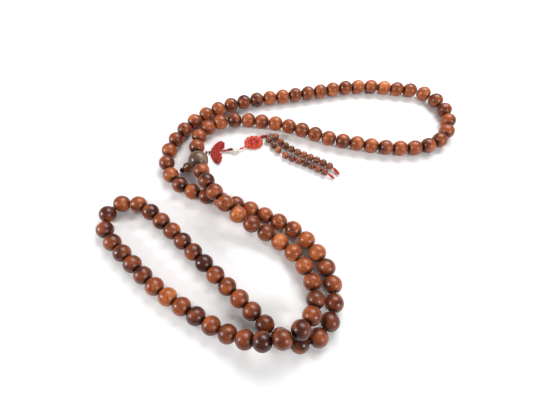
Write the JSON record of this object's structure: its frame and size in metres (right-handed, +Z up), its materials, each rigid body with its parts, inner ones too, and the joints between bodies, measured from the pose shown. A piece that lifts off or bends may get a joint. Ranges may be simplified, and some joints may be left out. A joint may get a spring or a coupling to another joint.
{
  "type": "mala prayer beads",
  "caption": "Long loop of turned wooden prayer beads with a larger guru bead, laid in an S, with a knotted cord pendant, a carved pale bead and two strings of small counter beads.",
  "frame": {"origin": "on the surface the mala lies on, under the middle of its box", "axes": "+Z up, +X along the longer side of the S to the right, +Y away from the viewer"},
  "size_m": [0.4587, 0.37, 0.0404],
  "materials": {
    "bead_wood": "polished reddish-brown rosewood with fine grain",
    "guru_wood": "polished dark brown wood",
    "cord": "dark maroon twisted cord",
    "knot": "crimson plaited cord",
    "orange_cord": "orange-red plaited cord",
    "jade": "polished pale carved stone",
    "counter_wood": "polished brown wood"
  },
  "bodies": {
    "middle": {"beads_001_to_005": "bead_wood", "beads_006_to_010": "bead_wood", "beads_035_to_042": "bead_wood", "beads_043_to_050": "bead_wood", "beads_051_to_056": "bead_wood", "beads_057_to_062": "bead_wood", "beads_063_to_072": "bead_wood", "beads_087_to_094": "bead_wood", "beads_095_to_101": "bead_wood", "beads_102_to_108": "bead_wood", "cord_middle_front": "cord", "cord_middle_back": "cord", "cord_middle_guru": "cord", "guru_bead": "guru_wood", "guru_tail_knot": "cord", "pendant_loop": "cord"},
    "right_loop_near": {"beads_011_to_015": "bead_wood", "beads_030_to_034": "bead_wood", "cord_right_near_front": "cord", "cord_right_near_back": "cord"},
    "right_loop_far": {"beads_016_to_020": "bead_wood", "beads_021_to_025": "bead_wood", "beads_026_to_029": "bead_wood", "cord_right_far": "cord"},
    "left_loop_near": {"beads_073_to_075": "bead_wood", "beads_084_to_086": "bead_wood", "cord_left_near_back": "cord", "cord_left_near_front": "cord"},
    "left_loop_far": {"beads_076_to_079": "bead_wood", "beads_080_to_083": "bead_wood", "cord_left_far": "cord"},
    "pendant_fan": {"pendant_cord": "cord", "fan_knot": "knot"},
    "pendant_flower": {"jade_cord": "orange_cord", "flower_knot": "orange_cord", "counter_stem": "knot"},
    "counter_string_a": {"counter_cord_a": "knot"},
    "counter_string_b": {"counter_cord_b": "knot"},
    "stupa": {"stupa_bead": "guru_wood"},
    "jade": {"jade_bead": "jade"},
    "counter_a_01": {"counter_a_01": "counter_wood"},
    "counter_a_02": {"counter_a_02": "counter_wood"},
    "counter_a_03": {"counter_a_03": "counter_wood"},
    "counter_a_04": {"counter_a_04": "counter_wood"},
    "counter_a_05": {"counter_a_05": "counter_wood"},
    "counter_a_06": {"counter_a_06": "counter_wood"},
    "counter_a_07": {"counter_a_07": "counter_wood"},
    "counter_a_08": {"counter_a_08": "counter_wood"},
    "counter_a_09": {"counter_a_09": "counter_wood"},
    "counter_a_10": {"counter_a_10": "counter_wood"},
    "counter_b_01": {"counter_b_01": "counter_wood"},
    "counter_b_02": {"counter_b_02": "counter_wood"},
    "counter_b_03": {"counter_b_03": "counter_wood"},
    "counter_b_04": {"counter_b_04": "counter_wood"},
    "counter_b_05": {"counter_b_05": "counter_wood"},
    "counter_b_06": {"counter_b_06": "counter_wood"},
    "counter_b_07": {"counter_b_07": "counter_wood"},
    "counter_b_08": {"counter_b_08": "counter_wood"},
    "counter_b_09": {"counter_b_09": "counter_wood"},
    "counter_b_10": {"counter_b_10": "counter_wood"}
  },
  "joints": [
    {"name": "right_loop_lift", "type": "hinge", "parent": "middle", "child": "right_loop_near", "pos_m": [0.02221, 0.12559, 0.014], "axis": [0.0937, -0.9956, 0], "range_deg": [0, 30]},
    {"name": "right_loop_curl", "type": "hinge", "parent": "right_loop_near", "child": "right_loop_far", "pos_m": [0.1139, 0.12067, 0.014], "axis": [0.0409, -0.9992, 0], "range_deg": [0, 30]},
    {"name": "left_loop_lift", "type": "hinge", "parent": "middle", "child": "left_loop_near", "pos_m": [-0.1247, -0.10518, 0.014], "axis": [0.6943, 0.7197, 0], "range_deg": [0, 30]},
    {"name": "left_loop_curl", "type": "hinge", "parent": "left_loop_near", "child": "left_loop_far", "pos_m": [-0.16658, -0.06772, 0.014], "axis": [0.6965, 0.7176, 0], "range_deg": [0, 30]},
    {"name": "pendant_swing", "type": "hinge", "parent": "middle", "child": "pendant_fan", "pos_m": [-0.1114, 0.0626, 0.0026], "axis": [0, 0, 1], "range_deg": [-12, 0.5]},
    {"name": "flower_swing", "type": "hinge", "parent": "pendant_fan", "child": "pendant_flower", "pos_m": [-0.0924, 0.0643, 0.0024], "axis": [0, 0, 1], "range_deg": [-8, 0.5]},
    {"name": "counter_string_a_swing", "type": "hinge", "parent": "pendant_flower", "child": "counter_string_a", "pos_m": [-0.0321, 0.0903, 0.0022], "axis": [0, 0, 1], "range_deg": [0, 6]},
    {"name": "counter_string_b_swing", "type": "hinge", "parent": "pendant_flower", "child": "counter_string_b", "pos_m": [-0.0321, 0.0903, 0.0022], "axis": [0, 0, 1], "range_deg": [-10, 0]},
    {"name": "stupa_spin", "type": "hinge", "parent": "middle", "child": "stupa", "pos_m": [-0.1315, 0.03504, 0.00865], "axis": [-0.8002, -0.17, -0.5751], "continuous": true},
    {"name": "jade_spin", "type": "hinge", "parent": "pendant_flower", "child": "jade", "pos_m": [-0.0718, 0.0668, 0.0043], "axis": [-0.9967, -0.0804, 0.008], "continuous": true},
    {"name": "counter_a_01_spin", "type": "hinge", "parent": "counter_string_a", "child": "counter_a_01", "pos_m": [-0.01937, 0.08679, 0.00473], "axis": [0.6058, -0.7956, 0.0035], "continuous": true},
    {"name": "counter_a_02_spin", "type": "hinge", "parent": "counter_string_a", "child": "counter_a_02", "pos_m": [-0.01252, 0.07842, 0.00475], "axis": [0.6672, -0.7449, 0], "continuous": true},
    {"name": "counter_a_03_spin", "type": "hinge", "parent": "counter_string_a", "child": "counter_a_03", "pos_m": [-0.00577, 0.0718, 0.00475], "axis": [0.7576, -0.6527, 0], "continuous": true},
    {"name": "counter_a_04_spin", "type": "hinge", "parent": "counter_string_a", "child": "counter_a_04", "pos_m": [0.00166, 0.06606, 0.00475], "axis": [0.8222, -0.5691, 0], "continuous": true},
    {"name": "counter_a_05_spin", "type": "hinge", "parent": "counter_string_a", "child": "counter_a_05", "pos_m": [0.00971, 0.06114, 0.00475], "axis": [0.8812, -0.4727, 0], "continuous": true},
    {"name": "counter_a_06_spin", "type": "hinge", "parent": "counter_string_a", "child": "counter_a_06", "pos_m": [0.01789, 0.05687, 0.00475], "axis": [0.8903, -0.4554, 0], "continuous": true},
    {"name": "counter_a_07_spin", "type": "hinge", "parent": "counter_string_a", "child": "counter_a_07", "pos_m": [0.02617, 0.05273, 0.00475], "axis": [0.8983, -0.4394, 0], "continuous": true},
    {"name": "counter_a_08_spin", "type": "hinge", "parent": "counter_string_a", "child": "counter_a_08", "pos_m": [0.03443, 0.04851, 0.00475], "axis": [0.8829, -0.4696, 0], "continuous": true},
    {"name": "counter_a_09_spin", "type": "hinge", "parent": "counter_string_a", "child": "counter_a_09", "pos_m": [0.04253, 0.04401, 0.00475], "axis": [0.865, -0.5018, 0], "continuous": true},
    {"name": "counter_a_10_spin", "type": "hinge", "parent": "counter_string_a", "child": "counter_a_10", "pos_m": [0.05044, 0.03904, 0.00475], "axis": [0.827, -0.5622, 0], "continuous": true},
    {"name": "counter_b_01_spin", "type": "hinge", "parent": "counter_string_b", "child": "counter_b_01", "pos_m": [-0.02847, 0.08191, 0.00472], "axis": [0.4969, -0.8678, 0.0061], "continuous": true},
    {"name": "counter_b_02_spin", "type": "hinge", "parent": "counter_string_b", "child": "counter_b_02", "pos_m": [-0.0222, 0.07225, 0.00475], "axis": [0.6108, -0.7918, 0], "continuous": true},
    {"name": "counter_b_03_spin", "type": "hinge", "parent": "counter_string_b", "child": "counter_b_03", "pos_m": [-0.01608, 0.06509, 0.00475], "axis": [0.6818, -0.7315, 0], "continuous": true},
    {"name": "counter_b_04_spin", "type": "hinge", "parent": "counter_string_b", "child": "counter_b_04", "pos_m": [-0.00658, 0.05591, 0.00475], "axis": [0.7912, -0.6116, 0], "continuous": true},
    {"name": "counter_b_05_spin", "type": "hinge", "parent": "counter_string_b", "child": "counter_b_05", "pos_m": [0.00178, 0.05102, 0.00475], "axis": [0.9174, -0.3981, 0], "continuous": true},
    {"name": "counter_b_06_spin", "type": "hinge", "parent": "counter_string_b", "child": "counter_b_06", "pos_m": [0.01024, 0.04727, 0.00475], "axis": [0.9099, -0.4148, 0], "continuous": true},
    {"name": "counter_b_07_spin", "type": "hinge", "parent": "counter_string_b", "child": "counter_b_07", "pos_m": [0.0186, 0.04335, 0.00475], "axis": [0.9009, -0.4341, 0], "continuous": true},
    {"name": "counter_b_08_spin", "type": "hinge", "parent": "counter_string_b", "child": "counter_b_08", "pos_m": [0.02688, 0.03919, 0.00475], "axis": [0.8858, -0.4641, 0], "continuous": true},
    {"name": "counter_b_09_spin", "type": "hinge", "parent": "counter_string_b", "child": "counter_b_09", "pos_m": [0.03501, 0.03469, 0.00475], "axis": [0.8643, -0.503, 0], "continuous": true},
    {"name": "counter_b_10_spin", "type": "hinge", "parent": "counter_string_b", "child": "counter_b_10", "pos_m": [0.04296, 0.03006, 0.00475], "axis": [0.864, -0.5035, 0], "continuous": true}
  ],
  "couplings": [
    {"joint": "right_loop_curl", "follows": "right_loop_lift", "ratio": 1},
    {"joint": "left_loop_curl", "follows": "left_loop_lift", "ratio": 1}
  ]
}
